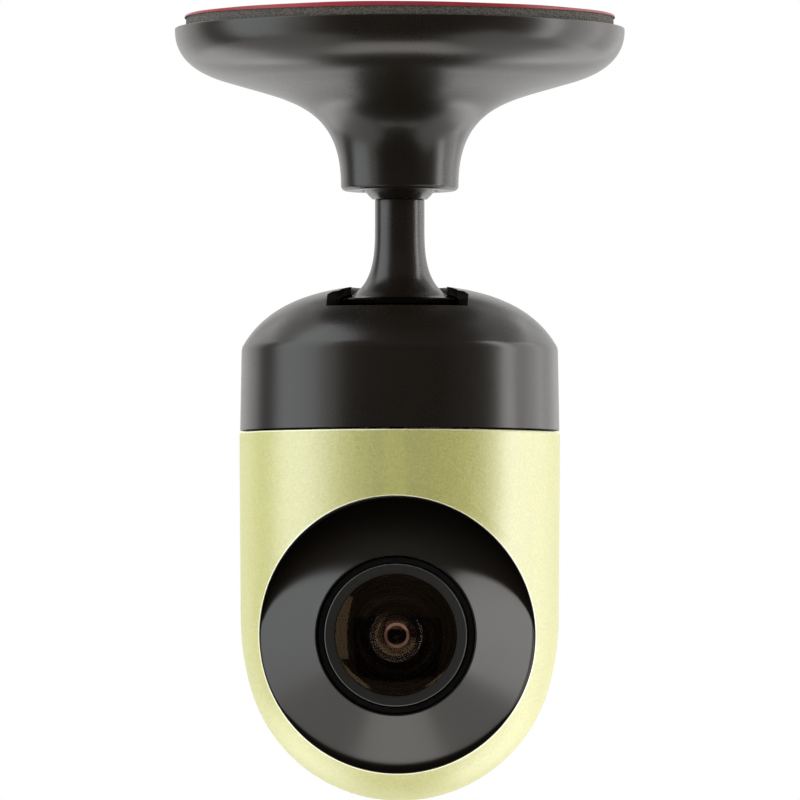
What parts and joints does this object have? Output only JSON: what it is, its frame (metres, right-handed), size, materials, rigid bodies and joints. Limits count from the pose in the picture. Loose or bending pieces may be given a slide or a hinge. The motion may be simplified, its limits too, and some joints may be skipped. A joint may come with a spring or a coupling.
{
  "type": "dash camera",
  "caption": "Capsule-shaped windscreen dash camera hanging from an adhesive bell-shaped base by a ball joint, with a slide-on domed cap and a swivelling head.",
  "frame": {"origin": "centre of the adhesive pad's outer face, which meets the windscreen", "axes": "+Z out of the adhesive face, so the camera hangs below it along -Z; the lens looks along -Y; +X is to the right seen from in front of the lens"},
  "size_m": [0.0536, 0.057, 0.0934],
  "materials": {
    "liner_film": "translucent red film",
    "foam": "open-cell foam, matt",
    "black_gloss": "polished black moulding",
    "dark_plastic": "fine texture",
    "steel": "plated",
    "slick_plastic": "natural acetal",
    "ball_black": "polished",
    "dark_steel": "blackened spring steel",
    "board_green": "solder mask",
    "wire_jacket": "matt",
    "painted_shell": "fine metallic paint, yellow-green",
    "rubber_black": "matt",
    "barrel_metal": "black anodised, bright turned lip",
    "lens_glass": "coated, clear",
    "baffle_black": "ridged, matt",
    "filter_glass": "coated",
    "sensor_face": "iridescent die under cover glass",
    "chip_black": "moulded",
    "shield_metal": "tinned",
    "led_white": "resin",
    "clear_plastic": "clear acrylic",
    "speaker_black": "frame and paper cone",
    "button_black": "satin",
    "card_black": "moulded",
    "capacitor_sleeve": "shrink sleeve",
    "plug_white": "nylon",
    "flex_amber": "polyimide film"
  },
  "bodies": {
    "base": {"base_shell": "black_gloss", "base_plate": "dark_plastic", "foam_pad": "foam", "base_screws": "steel", "socket_plug": "dark_plastic", "disc_springs": "steel"},
    "liner": {"release_liner": "liner_film"},
    "cup": {"pressure_cup": "slick_plastic"},
    "ball": {"ball": "ball_black"},
    "stem": {"stem": "black_gloss", "stem_screw": "steel"},
    "cap": {"top_cap": "black_gloss", "detent_spring": "dark_steel", "swivel_plate": "dark_plastic", "swivel_hub": "slick_plastic", "hub_screws": "steel", "wave_washer": "steel", "power_board": "board_green", "usb_socket": "steel", "power_harness": "wire_jacket"},
    "button": {"power_button": "button_black"},
    "card": {"memory_card": "card_black"},
    "head": {"friction_washer": "slick_plastic", "lower_shell": "painted_shell", "top_lid": "dark_plastic", "lid_screws": "steel", "chassis_screws": "steel", "lens_bezel": "black_gloss", "bezel_screws": "steel", "lens_seal": "rubber_black", "lens_barrel": "barrel_metal", "front_lens": "lens_glass", "lens_baffle": "baffle_black", "second_lens": "lens_glass", "aperture_ring": "baffle_black", "third_lens": "lens_glass", "rear_lens": "lens_glass", "lens_holder": "dark_plastic", "infrared_filter": "filter_glass", "image_sensor": "sensor_face", "sensor_board": "board_green", "sensor_screws": "steel", "chassis": "dark_plastic", "main_board": "board_green", "board_screws": "steel", "processor": "chip_black", "memory_chip": "chip_black", "wifi_module": "shield_metal", "microphone": "shield_metal", "status_led": "led_white", "light_pipe": "clear_plastic", "speaker": "speaker_black", "tact_switch": "shield_metal", "card_socket": "shield_metal", "supercapacitors": "capacitor_sleeve", "harness_plug": "plug_white", "sensor_flex": "flex_amber"}
  },
  "joints": [
    {"name": "liner_lift", "type": "slide", "parent": "base", "child": "liner", "axis": [0, 0, 1], "range_m": [0, 0.03]},
    {"name": "ball_pan", "type": "hinge", "parent": "base", "child": "cup", "pos_m": [0, 0, -0.018], "axis": [0, 0, 1], "continuous": true},
    {"name": "ball_tilt", "type": "hinge", "parent": "cup", "child": "ball", "pos_m": [0, 0, -0.018], "axis": [1, 0, 0], "range_deg": [-22, 22]},
    {"name": "stem_spin", "type": "hinge", "parent": "ball", "child": "stem", "pos_m": [0, 0, -0.018], "axis": [0, 0, 1], "continuous": true},
    {"name": "mount_slide", "type": "slide", "parent": "stem", "child": "cap", "axis": [0, 1, 0], "range_m": [0, 0.022]},
    {"name": "head_swivel", "type": "hinge", "parent": "cap", "child": "head", "pos_m": [0, 0, -0.05], "axis": [0, 0, 1], "range_deg": [-165, 165]},
    {"name": "button_press", "type": "slide", "parent": "head", "child": "button", "axis": [0, -1, 0], "range_m": [0, 0.0005], "stiffness_N_per_m": 2500, "springref_m": -0.0002},
    {"name": "card_slide", "type": "slide", "parent": "head", "child": "card", "axis": [1, 0, 0], "range_m": [0, 0.016]}
  ]
}
